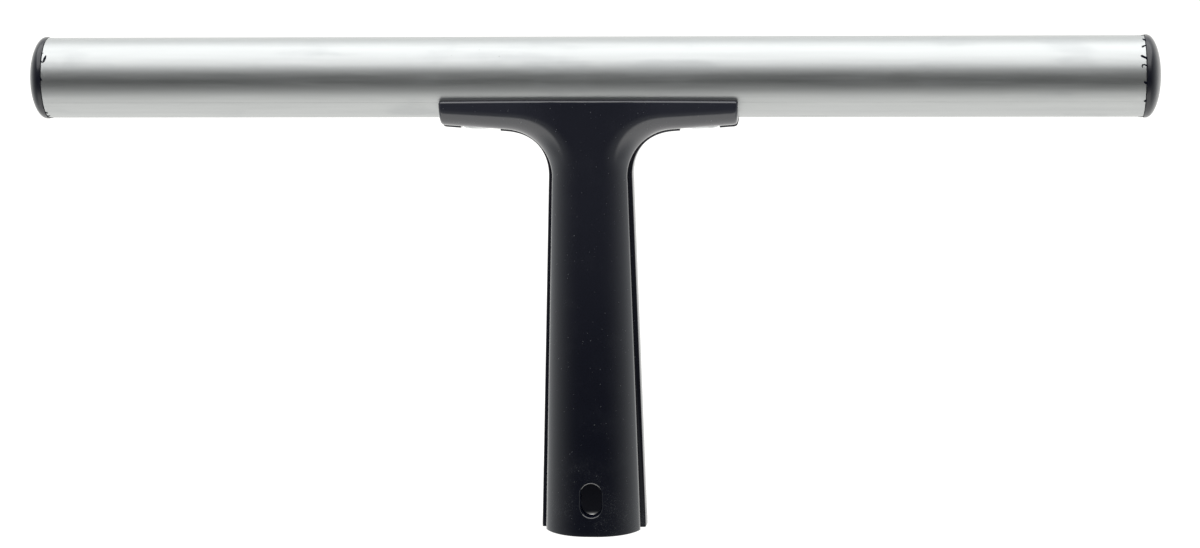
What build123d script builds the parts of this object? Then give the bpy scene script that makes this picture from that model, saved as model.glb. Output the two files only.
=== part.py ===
from build123d import *
import os
from math import cos, radians, sin, sqrt

# Window-washer T-bar: a round aluminium tube on a two-shell plastic handle.
#
# The tube lies along X in a saddle at the top of the handle. The handle stands along Z and is
# open at the bottom, where an extension pole goes in. Millimetres, +Z up, and -Y is the front.
# The origin is the centre of the pole socket's mouth.

# --- Tube ---
TUBE_DIAMETER = 25.0
TUBE_WALL = 1.3
TUBE_LENGTH = 339.6
TUBE_Z = 142.8
SCRIBE_ANGLE = 31.7
SCRIBE_WIDTH = 0.4
SCRIBE_DEPTH = 0.15

# --- End caps ---
CAP_DIAMETER = 25.5
CAP_RIM = 0.6
CAP_DOME = 4.6
SPIGOT_DIAMETER = 21.4
SPIGOT_LENGTH = 14.0
SPIGOT_WALL = 1.6
SPIGOT_RIBS = 8
SPIGOT_RIB_WIDTH = 1.2
SPIGOT_FIT = 0.05

# --- Grip, from its open bottom to the neck where the flare begins ---
NECK_Z = 112.4
GRIP_HALF_DEPTH = 16.05
GRIP_CORNER = 14.5
NECK_HALF_DEPTH = 12.8
NECK_CORNER = 5.5
COVER_HALF_WIDTH = 15.84
BODY_HALF_WIDTH = 16.75

# --- Head: flare, arms and saddle ---
HEAD_HALF_LENGTH = 46.0
FLARE_X = 26.8
FLARE_RADIUS = 15.0
ARM_SLOPE = 4.4
LIP_Z = 136.75
LIP_CROWN = 0.25
LIP_ROUND = 0.8
SADDLE_CLEARANCE = 0.02

# --- How the shells meet ---
COVER_EDGE_Y = -6.4
LEDGE_Y = -2.8
LEDGE_WIDTH = 1.5
TONGUE_INSET = 1.5
TONGUE_TIP_Y = -7.8
TONGUE_FOOT_HALF_WIDTH = 13.2
TONGUE_HALF_LENGTH = 44.0
SHELL_CLEARANCE = 0.08

# --- Pole socket and its lock hole ---
SOCKET_RADIUS = 12.5
SOCKET_STRAIGHT = 24.0
SOCKET_END_RADIUS = 9.4
SOCKET_END_Z = 102.0
LOCK_HOLE_WIDTH = 6.6
LOCK_HOLE_HEIGHT = 10.6
LOCK_HOLE_Z = 11.65
LOCK_HOLE_CHAMFER = 0.4

# --- Core-out of the head ---
CORE_INSET = 3.2
CORE_BOTTOM_Z = 105.5
CORE_TOP_Z = 127.0
CORE_HALF_DEPTH = 10.0
CORE_RIB = 1.6

# --- Shell screws ---
SCREW_X = 5.6
SCREW_Z = 117.0
SCREW_DIAMETER = 3.5
SCREW_HEAD_DIAMETER = 6.4
SCREW_HEAD_HEIGHT = 2.4
SCREW_LENGTH = 16.0
SCREW_SEAT_Y = 6.0
SCREW_HEAD_ROUND = 1.2
SCREW_TIP_DIAMETER = 1.2
SCREW_RECESS = 3.0
SCREW_RECESS_WIDTH = 0.75
BOSS_RADIUS = 4.2
HOLE_CLEARANCE = 0.05
COUNTERBORE_CLEARANCE = 0.4

# --- Blind rivets ---
RIVET_X = 34.0
RIVET_SHANK = 4.8
RIVET_FLANGE = 12.0
RIVET_FLANGE_HEIGHT = 1.4
RIVET_FLANGE_ROUND = 0.84
RIVET_BULB = 7.2
RIVET_BULB_HEIGHT = 4.0
RIVET_BULB_ROUND = 1.2
RIVET_SEAT_Z = 128.7
MANDREL_DIAMETER = 2.6
MANDREL_HEAD = 4.2
MANDREL_HEAD_HEIGHT = 1.6
MANDREL_HEAD_ROUND = 0.8
NOTCH_WIDTH = 12.3
NOTCH_BACK_Y = 6.6

# --- Overshoot for cutting tools, a reach past every face of the handle, and a hair's breadth ---
PAST = 5.0
FAR = 60.0
HAIR = 0.01

TUBE_RADIUS = TUBE_DIAMETER / 2
TUBE_BORE = TUBE_RADIUS - TUBE_WALL
TUBE_BOTTOM_Z = TUBE_Z - TUBE_RADIUS


def cylinder_along_x(radius, length):
    """A cylinder centred on the tube's axis."""
    return Pos(0, 0, TUBE_Z) * Rot(0, 90, 0) * Cylinder(radius, length)


def cylinder_along_y(radius, start_y, end_y, x, z):
    """A cylinder from start_y to end_y, parallel to Y."""
    middle = Pos(x, (start_y + end_y) / 2, z)
    return middle * Rot(90, 0, 0) * Cylinder(radius, abs(end_y - start_y))


def block(low, high):
    """A box between two corners."""
    centre = [(a + b) / 2 for a, b in zip(low, high)]
    size = [b - a for a, b in zip(low, high)]
    return Pos(*centre) * Box(*size)


def tube():
    """The aluminium tube, with its guide lines and the two rivet holes in its underside."""
    solid = cylinder_along_x(TUBE_RADIUS, TUBE_LENGTH)
    solid -= cylinder_along_x(TUBE_BORE, TUBE_LENGTH + PAST)
    for angle in (-180 + SCRIBE_ANGLE, -SCRIBE_ANGLE):
        spot = Pos(0, TUBE_RADIUS * cos(radians(angle)), TUBE_Z + TUBE_RADIUS * sin(radians(angle)))
        solid -= spot * Rot(angle, 0, 0) * Box(TUBE_LENGTH + PAST, 2 * SCRIBE_DEPTH, SCRIBE_WIDTH)
    for side in (-1, 1):
        hole = Cylinder(RIVET_SHANK / 2 + HOLE_CLEARANCE, TUBE_RADIUS)
        solid -= Pos(side * RIVET_X, 0, TUBE_BOTTOM_Z) * hole
    return solid


def end_cap(side):
    """A domed cap with a hollow ribbed spigot that plugs the tube's end."""
    radius = CAP_DIAMETER / 2
    dome = EllipticalCenterArc((CAP_RIM, 0), CAP_DOME, radius, start_angle=0, arc_size=90)
    rim = Polyline((CAP_RIM, radius), (0, radius), (0, 0), (CAP_RIM + CAP_DOME, 0))
    solid = revolve(make_face([dome, *rim.edges()]), Axis.X)
    spigot = Rot(0, 90, 0) * Cylinder(SPIGOT_DIAMETER / 2, SPIGOT_LENGTH)
    spigot = Pos(-SPIGOT_LENGTH / 2, 0, 0) * spigot
    reach = TUBE_BORE - SPIGOT_FIT
    rib = Pos(-SPIGOT_LENGTH / 2, reach / 2, 0) * Box(SPIGOT_LENGTH, reach, SPIGOT_RIB_WIDTH)
    envelope = Pos(-SPIGOT_LENGTH / 2, 0, 0) * Rot(0, 90, 0) * Cylinder(reach, SPIGOT_LENGTH)
    envelope = chamfer(envelope.edges().group_by(Axis.X)[0], SPIGOT_WALL / 2)
    for index in range(SPIGOT_RIBS):
        spigot += Rot(index * 360 / SPIGOT_RIBS, 0, 0) * rib
    spigot = spigot & envelope
    hollow = Pos(-SPIGOT_LENGTH / 2, 0, 0) * Rot(0, 90, 0)
    spigot -= hollow * Cylinder(SPIGOT_DIAMETER / 2 - SPIGOT_WALL, SPIGOT_LENGTH)
    solid += spigot
    solid = Pos(TUBE_LENGTH / 2, 0, TUBE_Z) * solid
    return solid if side > 0 else Rot(0, 0, 180) * solid


def head_outline(offset, half_length):
    """The head's front outline above the neck, grown outwards from the cover's by offset.

    The sides rise from the neck, flare out on an arc and run along the arms' underside.
    """
    radius = FLARE_RADIUS - offset
    slope = radians(ARM_SLOPE)
    half_way = radians(180 - (90 - ARM_SLOPE) / 2)
    neck = (FLARE_X - radius, NECK_Z)
    middle = (FLARE_X + radius * cos(half_way), NECK_Z + radius * sin(half_way))
    flare_end = (FLARE_X - radius * sin(slope), NECK_Z + radius * cos(slope))
    rise = (half_length - flare_end[0]) * sin(slope) / cos(slope)
    arm_end = (half_length, flare_end[1] + rise)
    lip_end = (half_length, LIP_Z)
    lip_middle = (0, LIP_Z + LIP_CROWN)

    def left(point):
        return (-point[0], point[1])

    edges = [
        Line(left(neck), neck),
        ThreePointArc(neck, middle, flare_end),
        Line(flare_end, arm_end),
        Line(arm_end, lip_end),
        ThreePointArc(lip_end, lip_middle, left(lip_end)),
        Line(left(lip_end), left(arm_end)),
        Line(left(arm_end), left(flare_end)),
        ThreePointArc(left(flare_end), left(middle), left(neck)),
    ]
    return make_face(edges)


def plate(outline, front_y, back_y):
    """An outline in the XZ plane, made solid from front_y to back_y."""
    return Pos(0, back_y, 0) * extrude(Plane.XZ * outline, back_y - front_y)


def round_head(solid, face_y):
    """Round the head's long edges at one face: wide along the underside, small at the lip."""
    at_face = solid.edges().filter_by_position(Axis.Y, face_y - HAIR, face_y + HAIR)
    under = [e for e in at_face if e.center().Z < LIP_Z - 1 and abs(e.center().X) > 1]
    under = [e for e in under if abs(e.center().X) < HEAD_HALF_LENGTH - 1]
    solid = fillet(under, NECK_CORNER)
    at_face = solid.edges().filter_by_position(Axis.Y, face_y - HAIR, face_y + HAIR)
    lip = [e for e in at_face if e.center().Z > LIP_Z]
    return fillet(lip, LIP_ROUND)


def grip(foot_half_width, neck_half_width):
    """The grip's outer form, a rounded section that is rounder and larger at the foot."""
    foot = RectangleRounded(2 * foot_half_width, 2 * GRIP_HALF_DEPTH, GRIP_CORNER)
    neck = RectangleRounded(2 * neck_half_width, 2 * NECK_HALF_DEPTH, NECK_CORNER)
    return loft([foot, Pos(0, 0, NECK_Z) * neck], ruled=True)


def tongue(clearance):
    """The inner wall on the rear shell that stands into the front shell, grown by clearance."""
    front_y = TONGUE_TIP_Y - clearance
    back_y = LEDGE_Y + PAST
    depth = back_y - front_y
    middle_y = (front_y + back_y) / 2
    foot = Rectangle(2 * (TONGUE_FOOT_HALF_WIDTH + clearance), depth)
    neck_half_width = FLARE_X - FLARE_RADIUS - TONGUE_INSET + clearance
    neck = Rectangle(2 * neck_half_width, depth)
    column = loft([Pos(0, middle_y) * foot, Pos(0, middle_y, NECK_Z) * neck], ruled=True)
    outline = head_outline(clearance - TONGUE_INSET, TONGUE_HALF_LENGTH + clearance)
    return column + plate(outline, front_y, back_y)


def socket():
    """The pole's space: a straight mouth, then a taper."""
    mouth = Pos(0, 0, SOCKET_STRAIGHT / 2) * Cylinder(SOCKET_RADIUS, SOCKET_STRAIGHT)
    taper_length = SOCKET_END_Z - SOCKET_STRAIGHT
    taper = Cone(SOCKET_RADIUS, SOCKET_END_RADIUS, taper_length)
    return mouth + Pos(0, 0, SOCKET_STRAIGHT + taper_length / 2) * taper


def head_core():
    """The hollow of the head, round two screw bosses and a middle rib."""
    outline = head_outline(-CORE_INSET, HEAD_HALF_LENGTH)
    form = plate(outline, -CORE_HALF_DEPTH, CORE_HALF_DEPTH)
    low = (-HEAD_HALF_LENGTH / 2, -CORE_HALF_DEPTH, NECK_Z)
    high = (HEAD_HALF_LENGTH / 2, CORE_HALF_DEPTH, CORE_TOP_Z)
    form = form & block(low, high)
    neck_half_width = FLARE_X - FLARE_RADIUS - CORE_INSET
    low = (-neck_half_width, -CORE_HALF_DEPTH, CORE_BOTTOM_Z)
    high = (neck_half_width, CORE_HALF_DEPTH, NECK_Z)
    form += block(low, high)
    for side in (-1, 1):
        form -= cylinder_along_y(BOSS_RADIUS, -FAR, FAR, side * SCREW_X, SCREW_Z)
    low = (-CORE_RIB / 2, -CORE_HALF_DEPTH, CORE_BOTTOM_Z)
    high = (CORE_RIB / 2, CORE_HALF_DEPTH, CORE_TOP_Z)
    return form - block(low, high)


def saddle():
    """The space that the tube fills between the two lips."""
    return cylinder_along_x(TUBE_RADIUS + SADDLE_CLEARANCE, TUBE_LENGTH)


def lock_hole():
    """The oval hole's space, chamfered where it meets the front of the grip."""
    width, height = LOCK_HOLE_WIDTH, LOCK_HOLE_HEIGHT
    taper = (GRIP_HALF_DEPTH - NECK_HALF_DEPTH) * LOCK_HOLE_Z / NECK_Z
    chamfer_depth = GRIP_HALF_DEPTH - taper - LOCK_HOLE_CHAMFER
    slot = Pos(0, LOCK_HOLE_Z) * SlotOverall(height, width, rotation=90)
    grown = Pos(0, LOCK_HOLE_Z) * SlotOverall(height + 2 * PAST, width + 2 * PAST, rotation=90)
    inner = Plane.XZ.offset(chamfer_depth) * slot
    outer = Plane.XZ.offset(chamfer_depth + PAST) * grown
    return plate(slot, -GRIP_HALF_DEPTH - PAST, COVER_EDGE_Y) + loft([inner, outer], ruled=True)


def handle_front_cover():
    """The front shell, with the oval lock hole near its foot."""
    head = plate(head_outline(0, HEAD_HALF_LENGTH), -NECK_HALF_DEPTH, NECK_HALF_DEPTH)
    head = round_head(head, -NECK_HALF_DEPTH)
    neck_half_width = FLARE_X - FLARE_RADIUS
    solid = head + grip(COVER_HALF_WIDTH, neck_half_width)
    solid = solid & block((-FAR, -FAR, -PAST), (FAR, COVER_EDGE_Y, TUBE_Z))
    solid -= saddle()
    solid -= socket()
    solid -= head_core()
    solid -= tongue(SHELL_CLEARANCE)
    solid -= lock_hole()
    for side in (-1, 1):
        tip_y = SCREW_SEAT_Y - SCREW_LENGTH - HOLE_CLEARANCE
        radius = SCREW_DIAMETER / 2 + HOLE_CLEARANCE
        solid -= cylinder_along_y(radius, tip_y, 0, side * SCREW_X, SCREW_Z)
    return solid


def handle_rear_body():
    """The rear shell: saddle, ledge, notches for the rivets, socket wall and screw seats."""
    head = plate(head_outline(LEDGE_WIDTH, HEAD_HALF_LENGTH), LEDGE_Y, NECK_HALF_DEPTH)
    head = round_head(head, NECK_HALF_DEPTH)
    neck_half_width = FLARE_X - FLARE_RADIUS + LEDGE_WIDTH
    column = grip(BODY_HALF_WIDTH, neck_half_width)
    solid = head + (column & block((-FAR, LEDGE_Y, -PAST), (FAR, FAR, TUBE_Z)))
    solid += tongue(0)
    solid -= saddle()
    solid -= socket()
    solid -= head_core()
    for side in (-1, 1):
        x = side * RIVET_X
        low = (x - NOTCH_WIDTH / 2, -FAR, NECK_Z)
        high = (x + NOTCH_WIDTH / 2, NOTCH_BACK_Y, RIVET_SEAT_Z)
        solid -= block(low, high)
        rivet_hole = Cylinder(RIVET_SHANK / 2 + HOLE_CLEARANCE, TUBE_RADIUS)
        solid -= Pos(x, 0, TUBE_BOTTOM_Z) * rivet_hole
        x = side * SCREW_X
        radius = SCREW_DIAMETER / 2 + HOLE_CLEARANCE
        solid -= cylinder_along_y(radius, -FAR, SCREW_SEAT_Y, x, SCREW_Z)
        radius = (SCREW_HEAD_DIAMETER + COUNTERBORE_CLEARANCE) / 2
        solid -= cylinder_along_y(radius, SCREW_SEAT_Y, FAR, x, SCREW_Z)
    return solid


def shell_screw(side):
    """A pan-head screw for plastic that draws the front shell onto the rear one."""
    radius = SCREW_DIAMETER / 2
    tip_length = radius
    shank = Pos(0, 0, -(SCREW_LENGTH - tip_length) / 2) * Cylinder(radius, SCREW_LENGTH - tip_length)
    tip = Pos(0, 0, -SCREW_LENGTH + tip_length / 2) * Cone(SCREW_TIP_DIAMETER / 2, radius, tip_length)
    head = Pos(0, 0, SCREW_HEAD_HEIGHT / 2) * Cylinder(SCREW_HEAD_DIAMETER / 2, SCREW_HEAD_HEIGHT)
    head = fillet(head.edges().group_by(Axis.Z)[-1], SCREW_HEAD_ROUND)
    screw = shank + tip + head
    for turn in (0, 90):
        slot = Box(SCREW_RECESS, SCREW_RECESS_WIDTH, SCREW_HEAD_HEIGHT)
        screw -= Pos(0, 0, SCREW_HEAD_HEIGHT) * Rot(0, 0, turn) * slot
    return Pos(side * SCREW_X, SCREW_SEAT_Y, SCREW_Z) * Rot(-90, 0, 0) * screw


def rivet(side):
    """A large-flange blind rivet, set from below through the saddle into the tube."""
    flange = Cylinder(RIVET_FLANGE / 2, RIVET_FLANGE_HEIGHT)
    flange = fillet(flange.edges().group_by(Axis.Z)[0], RIVET_FLANGE_ROUND)
    solid = Pos(0, 0, RIVET_SEAT_Z - RIVET_FLANGE_HEIGHT / 2) * flange
    inside_z = TUBE_Z - sqrt(TUBE_BORE**2 - (RIVET_BULB / 2) ** 2)
    shank_length = inside_z - RIVET_SEAT_Z
    solid += Pos(0, 0, RIVET_SEAT_Z + shank_length / 2) * Cylinder(RIVET_SHANK / 2, shank_length)
    bulb = Cylinder(RIVET_BULB / 2, RIVET_BULB_HEIGHT)
    bulb = fillet(bulb.edges(), RIVET_BULB_ROUND)
    solid += Pos(0, 0, inside_z + RIVET_BULB_HEIGHT / 2) * bulb
    bore = Cylinder(MANDREL_DIAMETER / 2 + HOLE_CLEARANCE, 4 * PAST)
    solid -= Pos(0, 0, RIVET_SEAT_Z) * bore
    return Pos(side * RIVET_X, 0, 0) * solid


def rivet_mandrel(side):
    """The broken-off pin that stays inside a set blind rivet."""
    inside_z = TUBE_Z - sqrt(TUBE_BORE**2 - (RIVET_BULB / 2) ** 2)
    head_z = inside_z + RIVET_BULB_HEIGHT
    low_z = RIVET_SEAT_Z - RIVET_FLANGE_HEIGHT / 2
    pin = Cylinder(MANDREL_DIAMETER / 2, head_z - low_z)
    solid = Pos(0, 0, (head_z + low_z) / 2) * pin
    head = Cylinder(MANDREL_HEAD / 2, MANDREL_HEAD_HEIGHT)
    head = fillet(head.edges().group_by(Axis.Z)[-1], MANDREL_HEAD_ROUND)
    solid += Pos(0, 0, head_z + MANDREL_HEAD_HEIGHT / 2) * head
    return Pos(side * RIVET_X, 0, 0) * solid


SIDES = {"left": -1, "right": 1}

parts = {
    "tube": tube(),
    "handle_front_cover": handle_front_cover(),
    "handle_rear_body": handle_rear_body(),
}
for name, side in SIDES.items():
    parts["end_cap_" + name] = end_cap(side)
    parts["shell_screw_" + name] = shell_screw(side)
    parts["rivet_" + name] = rivet(side)
    parts["rivet_mandrel_" + name] = rivet_mandrel(side)

os.makedirs("parts", exist_ok=True)
for name, solid in parts.items():
    solid.label = name
    export_step(solid, os.path.join("parts", name + ".step"))
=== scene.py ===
"""Looks of a window-washer T-bar: a satin aluminium tube held crosswise on a two-shell handle.

Lengths in the assembly classes are millimetres in the frame's own axes: +Z up the handle, +X
along the tube, -Y the front. Mesh data is turned into metres when a piece is made.
"""
import logging
import math
import random
from contextlib import contextmanager
from dataclasses import dataclass, field
from enum import Enum
from typing import Iterator, Optional, Sequence, Union

import bmesh
import bpy
import numpy as np
from mathutils import Matrix, Vector


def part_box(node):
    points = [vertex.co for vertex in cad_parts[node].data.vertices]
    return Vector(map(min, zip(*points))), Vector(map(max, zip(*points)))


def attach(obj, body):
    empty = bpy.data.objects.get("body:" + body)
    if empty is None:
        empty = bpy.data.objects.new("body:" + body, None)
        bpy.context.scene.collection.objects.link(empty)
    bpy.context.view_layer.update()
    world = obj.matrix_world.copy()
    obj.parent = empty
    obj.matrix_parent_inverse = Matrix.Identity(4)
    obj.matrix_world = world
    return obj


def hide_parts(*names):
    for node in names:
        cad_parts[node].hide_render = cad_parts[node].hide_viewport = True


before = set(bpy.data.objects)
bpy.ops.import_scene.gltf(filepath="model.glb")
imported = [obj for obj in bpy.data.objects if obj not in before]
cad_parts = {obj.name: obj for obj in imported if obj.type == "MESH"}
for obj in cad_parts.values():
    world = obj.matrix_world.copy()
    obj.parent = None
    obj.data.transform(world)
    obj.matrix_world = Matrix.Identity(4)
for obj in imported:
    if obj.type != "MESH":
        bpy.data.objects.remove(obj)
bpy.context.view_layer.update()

BODY = "root"
MM = 0.001

# Millimetres: where the rivets sit, and how near two points are one.
RIVET_X = 34.0
RIVET_HOLE_RADIUS = 2.45
WELD = 0.0005

# Shares of a rounded corner's length that close in on its end.
CLOSING_STEPS = (1.0, 0.62, 0.33, 0.12, 0.0)

log = logging.getLogger("t_bar")

Colour = tuple[float, float, float]
Point = tuple[float, float, float]


# --- Shader building ---


class Signal:
    """One output socket of a node tree, with arithmetic that adds Math nodes."""

    def __init__(self, graph: "Graph", socket: bpy.types.NodeSocket) -> None:
        """Wrap a socket of a graph."""
        self.graph = graph
        self.socket = socket

    def maths(self, operation: str, *others: "Operand") -> "Signal":
        """Add one Math node.

        Args:
            operation: the Math node's operation.
            others: the operands after this one.

        Returns:
            The node's value.
        """
        inputs = dict(enumerate((self, *others)))
        return self.graph.add("ShaderNodeMath", {"operation": operation}, inputs)

    def __add__(self, other: "Operand") -> "Signal":
        """This plus other."""
        return self.maths("ADD", other)

    __radd__ = __add__

    def __mul__(self, other: "Operand") -> "Signal":
        """This times other."""
        return self.maths("MULTIPLY", other)

    __rmul__ = __mul__

    def __sub__(self, other: "Operand") -> "Signal":
        """This less other."""
        return self.maths("SUBTRACT", other)

    def __rsub__(self, other: float) -> "Signal":
        """A number less this."""
        return self.graph.add("ShaderNodeMath", {"operation": "SUBTRACT"}, {0: other, 1: self})

    def __pow__(self, power: float) -> "Signal":
        """This to a power."""
        return self.maths("POWER", power)

    def limited(self) -> "Signal":
        """This, kept between 0 and 1."""
        return self.maths("MINIMUM", 1.0).maths("MAXIMUM", 0.0)

    def step(self, start: float, end: float) -> "Signal":
        """A smooth rise, or a fall where start is above end.

        Args:
            start: where it is 0.
            end: where it is 1.

        Returns:
            The rise, from 0 to 1.
        """
        settings = {"interpolation_type": "SMOOTHSTEP"}
        inputs = {"Value": self, "From Min": start, "From Max": end}
        if start > end:
            inputs = {"Value": self, "From Min": end, "From Max": start}
        rise = self.graph.add("ShaderNodeMapRange", settings, inputs)
        return 1.0 - rise if start > end else rise

    def part(self, axis: str) -> "Signal":
        """One coordinate of this vector."""
        return self.graph.add("ShaderNodeSeparateXYZ", None, {0: self}, axis)


Operand = Union[Signal, float]
Value = Union[Signal, float, Sequence[float]]


class Graph:
    """A node tree with one method that adds any node."""

    def __init__(self, tree: bpy.types.NodeTree) -> None:
        """Empty the tree and keep it."""
        self.tree = tree
        tree.nodes.clear()

    def add(
        self,
        kind: str,
        settings: Optional[dict] = None,
        inputs: Optional[dict] = None,
        output: Union[int, str] = 0,
    ) -> Signal:
        """Add a node.

        Args:
            kind: the node's type name.
            settings: the node's own properties, set before its sockets.
            inputs: what each socket holds or is linked from, by name or number.
            output: which output to return.

        Returns:
            That output, or the node's first one if it has no outputs.
        """
        node = self.tree.nodes.new(kind)
        for name, value in (settings or {}).items():
            setattr(node, name, value)
        for name, value in (inputs or {}).items():
            self._feed(node.inputs[name], value)
        return Signal(self, node.outputs[output]) if node.outputs else Signal(self, None)

    def _feed(self, socket: bpy.types.NodeSocket, value: Value) -> None:
        """Link a signal to a socket, or set the socket's own value.

        Args:
            socket: an input of a node.
            value: what it is linked from or holds.
        """
        if isinstance(value, Signal):
            self.tree.links.new(value.socket, socket)
        elif socket.type == "RGBA" and len(value) == 3:
            socket.default_value = (*value, 1.0)
        else:
            socket.default_value = value

    def place(self) -> Signal:
        """The point being shaded, in the object's own metres."""
        return self.add("ShaderNodeTexCoord", output="Object")

    def stretched(self, place: Signal, scale: Sequence[float]) -> Signal:
        """A place scaled along each axis."""
        return self.vector("MULTIPLY", place, scale)

    def vector(self, operation: str, *inputs: Value, output: str = "Vector") -> Signal:
        """Add one Vector Math node on its operands in order."""
        return self.add("ShaderNodeVectorMath", {"operation": operation}, dict(enumerate(inputs)), output)

    def lit(self, colour: Value, level: Operand) -> Signal:
        """A colour made brighter or dimmer by a level."""
        inputs = {0: colour, "Scale": level}
        return self.add("ShaderNodeVectorMath", {"operation": "SCALE"}, inputs, "Vector")

    def noise(self, place: Signal, scale: float, detail: float = 2.0, rough: float = 0.5) -> Signal:
        """Soft noise from 0 to 1."""
        inputs = {"Vector": place, "Scale": scale, "Detail": detail, "Roughness": rough}
        return self.add("ShaderNodeTexNoise", None, inputs)

    def cells(self, place: Signal, scale: float, output: str = "Distance") -> Signal:
        """A Voronoi pattern's distance or colour."""
        inputs = {"Vector": place, "Scale": scale}
        return self.add("ShaderNodeTexVoronoi", None, inputs, output)

    def blend(self, share: Operand, low: Value, high: Value) -> Signal:
        """A colour between low and high."""
        inputs = {"Factor": share, 6: low, 7: high}
        return self.add("ShaderNodeMix", {"data_type": "RGBA"}, inputs, 2)

    def bump(self, height: Signal, distance: float, strength: float = 1.0) -> Signal:
        """A normal tilted by a height, in metres of distance."""
        inputs = {"Height": height, "Distance": distance, "Strength": strength}
        return self.add("ShaderNodeBump", None, inputs, "Normal")

    def principled(self, inputs: dict) -> None:
        """Add the Principled shader and the material output."""
        surface = self.add("ShaderNodeBsdfPrincipled", None, inputs)
        self.add("ShaderNodeOutputMaterial", None, {"Surface": surface})


def new_graph(name: str) -> tuple[bpy.types.Material, Graph]:
    """Make an empty material.

    Args:
        name: its name.

    Returns:
        The material and the graph that fills it.
    """
    material = bpy.data.materials.new(name)
    material.use_nodes = True
    return material, Graph(material.node_tree)


# --- Finishes ---


@dataclass(frozen=True)
class AnodisedAluminium:
    """Satin clear-anodised tube: die lines along X, faint smudges, pits and lint specks."""

    tone: Colour = (0.488, 0.500, 0.497)
    smudge_tone: Colour = (0.445, 0.458, 0.462)
    speck_tone: Colour = (0.20, 0.21, 0.21)
    roughness: float = 0.45
    line_pitch: float = 2600.0
    line_draw: float = 14.0
    speck_scale: float = 150.0
    relief: float = 0.0000035

    def build(self) -> bpy.types.Material:
        """Make the material.

        Returns:
            The material.
        """
        material, graph = new_graph("satin_anodised_aluminium")
        place = graph.place()
        along = (self.line_draw, self.line_pitch, self.line_pitch)
        fine = graph.noise(graph.stretched(place, along), 1.0, 3.0, 0.6)
        broad_scale = (self.line_draw / 3, self.line_pitch / 7, self.line_pitch / 7)
        broad = graph.noise(graph.stretched(place, broad_scale), 1.0, 2.0)
        cloud = graph.noise(place, 38.0, 4.0, 0.6)
        wipes = graph.noise(graph.stretched(place, (30.0, 130.0, 130.0)), 1.0, 3.0, 0.6)
        smudge = (cloud * wipes).step(0.27, 0.42)
        sway = graph.stretched(graph.noise(place, 26.0, 2.0), (0.0, 0.004, 0.004))
        swayed = graph.vector("ADD", place, sway)
        streak = graph.noise(graph.stretched(swayed, (24.0, 640.0, 640.0)), 1.0, 3.0, 0.6)
        rarity = graph.cells(place, self.speck_scale, "Color").part("X")
        speck = graph.cells(place, self.speck_scale).step(0.034, 0.014) * rarity.step(0.62, 0.66)
        colour = graph.blend(smudge * 0.55, self.tone, self.smudge_tone)
        colour = graph.blend((broad - 0.5) * 0.5 + 0.25, colour, self.smudge_tone)
        colour = graph.blend(speck * 0.75, colour, self.speck_tone)
        rough = self.roughness + (fine - 0.5) * 0.10 + (broad - 0.5) * 0.08 + smudge * 0.05
        rough = rough + (streak - 0.5) * 0.16
        height = fine + broad * 0.6 + streak * 0.8 - speck * 0.5
        graph.principled(
            {
                "Base Color": colour,
                "Metallic": 1.0,
                "Roughness": rough.limited(),
                "Normal": graph.bump(height, self.relief),
            }
        )
        return material


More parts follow.
